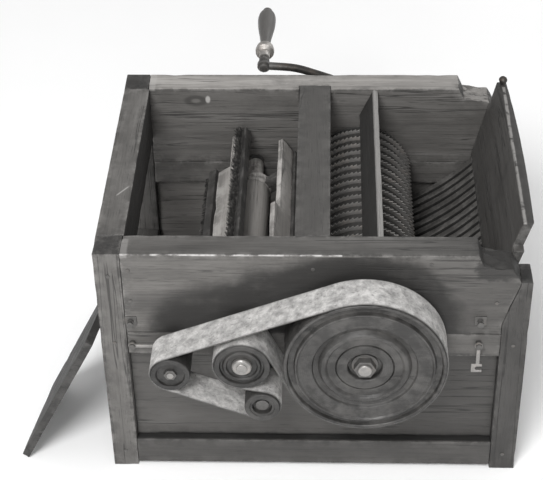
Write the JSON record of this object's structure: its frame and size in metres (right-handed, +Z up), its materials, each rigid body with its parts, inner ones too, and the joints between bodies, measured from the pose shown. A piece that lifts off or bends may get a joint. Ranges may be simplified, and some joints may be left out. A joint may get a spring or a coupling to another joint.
{
  "type": "hand-cranked cotton gin",
  "caption": "Bench-top wooden cotton gin with a toothed drum, brush reel, rib grate and hopper, turned by a hand crank and a flat belt over pulleys.",
  "frame": {"origin": "on the floor, below the middle of the whole object's outline, crank and loose board included", "axes": "+Z up, +X towards the hopper end, -Y towards the pulley and belt side, +Y towards the crank"},
  "size_m": [0.6948, 0.724, 0.403],
  "materials": {
    "aged_board": "aged and dirty, rubbed pale along some edges",
    "dark_frame": "dark stained",
    "inner_wood": "dusty, unfinished",
    "turned_wood": "turned and worn, dark with grease",
    "handle_wood": "smooth from use",
    "iron": "dull, slightly rusted",
    "tooth_steel": "worn bright at the tips",
    "canvas": "plain woven webbing, grey with handling",
    "bristle": "stiff dark fibre"
  },
  "bodies": {
    "frame": {"post_front_left": "dark_frame", "post_front_right": "dark_frame", "post_back_left": "dark_frame", "post_back_right": "dark_frame", "bottom_rail_front": "aged_board", "bottom_rail_back": "aged_board", "bottom_rail_left": "aged_board", "bottom_rail_right": "aged_board", "lower_panel_front": "aged_board", "lower_panel_back": "aged_board", "lower_panel_right": "aged_board", "top_rail_right": "aged_board", "top_board_left": "aged_board", "floor_board": "inner_wood", "bearing_rail_front": "aged_board", "bearing_rail_back": "aged_board", "shaft_bushes": "iron", "grate_ribs": "inner_wood", "grate_foot_rail": "inner_wood", "grate_head_rail": "inner_wood", "idler_bracket": "iron", "left_stud": "iron", "left_nut": "iron", "hook_pins": "iron", "post_nails": "iron", "belt": "canvas"},
    "top_section": {"upper_board_front": "aged_board", "upper_board_back": "aged_board", "cross_board": "aged_board", "partition_board": "dark_frame", "hopper_end_board": "aged_board", "end_board_peg": "iron", "catch_plates": "iron", "upper_board_nails": "iron"},
    "drum": {"drum_shaft": "iron", "drum_barrel": "inner_wood", "drum_saws": "tooth_steel", "drum_end_plates": "tooth_steel", "big_wheel": "turned_wood", "wheel_nut": "iron", "crank_arm": "iron", "crank_nut": "iron", "crank_pin": "iron"},
    "brush": {"brush_shaft": "iron", "brush_hub": "inner_wood", "brush_arms": "inner_wood", "brush_slats": "inner_wood", "brush_stocks": "inner_wood", "brush_bristles": "bristle", "brush_pulley": "turned_wood", "brush_nut": "iron"},
    "left_guide": {"left_pulley": "turned_wood"},
    "idler": {"idler_pulley": "turned_wood"},
    "grip": {"grip_handle": "handle_wood", "grip_ferrule": "iron"},
    "front_right_hook": {"hook_front_right": "iron"},
    "front_left_hook": {"hook_front_left": "iron"},
    "back_right_hook": {"hook_back_right": "iron"},
    "back_left_hook": {"hook_back_left": "iron"},
    "loose_board": {"delivery_board": "aged_board"}
  },
  "joints": [
    {"name": "top_lift", "type": "slide", "parent": "frame", "child": "top_section", "axis": [0, 0, 1], "range_m": [0, 0.12]},
    {"name": "drum_turn", "type": "hinge", "parent": "frame", "child": "drum", "pos_m": [0.1326, -0.071, 0.247], "axis": [0, -1, 0], "continuous": true},
    {"name": "brush_turn", "type": "hinge", "parent": "frame", "child": "brush", "pos_m": [-0.0245, -0.071, 0.247], "axis": [0, -1, 0], "continuous": true},
    {"name": "left_pulley_turn", "type": "hinge", "parent": "frame", "child": "left_guide", "pos_m": [-0.1169, -0.33, 0.232], "axis": [0, -1, 0], "continuous": true},
    {"name": "idler_turn", "type": "hinge", "parent": "frame", "child": "idler", "pos_m": [0.0002, -0.33, 0.1795], "axis": [0, -1, 0], "continuous": true},
    {"name": "grip_turn", "type": "hinge", "parent": "drum", "child": "grip", "pos_m": [-0.0133, 0.276, 0.361], "axis": [0, -1, 0], "continuous": true},
    {"name": "front_right_hook_swing", "type": "hinge", "parent": "frame", "child": "front_right_hook", "pos_m": [0.2822, -0.2945, 0.233], "axis": [0, -1, 0], "range_deg": [-150, 180]},
    {"name": "front_left_hook_swing", "type": "hinge", "parent": "frame", "child": "front_left_hook", "pos_m": [-0.1723, -0.2945, 0.229], "axis": [0, -1, 0], "range_deg": [-90, 90]},
    {"name": "back_right_hook_swing", "type": "hinge", "parent": "frame", "child": "back_right_hook", "pos_m": [0.2822, 0.1525, 0.233], "axis": [0, -1, 0], "range_deg": [-150, 180]},
    {"name": "back_left_hook_swing", "type": "hinge", "parent": "frame", "child": "back_left_hook", "pos_m": [-0.1723, 0.1525, 0.229], "axis": [0, -1, 0], "range_deg": [-150, 180]},
    {"name": "loose_board_away", "type": "slide", "parent": "frame", "child": "loose_board", "axis": [-0.6, 0, 0.8], "range_m": [0, 0.2]}
  ],
  "couplings": [
    {"joint": "brush_turn", "follows": "drum_turn", "ratio": -2.8333},
    {"joint": "left_pulley_turn", "follows": "drum_turn", "ratio": 3.9328},
    {"joint": "idler_turn", "follows": "drum_turn", "ratio": 4.3554}
  ]
}
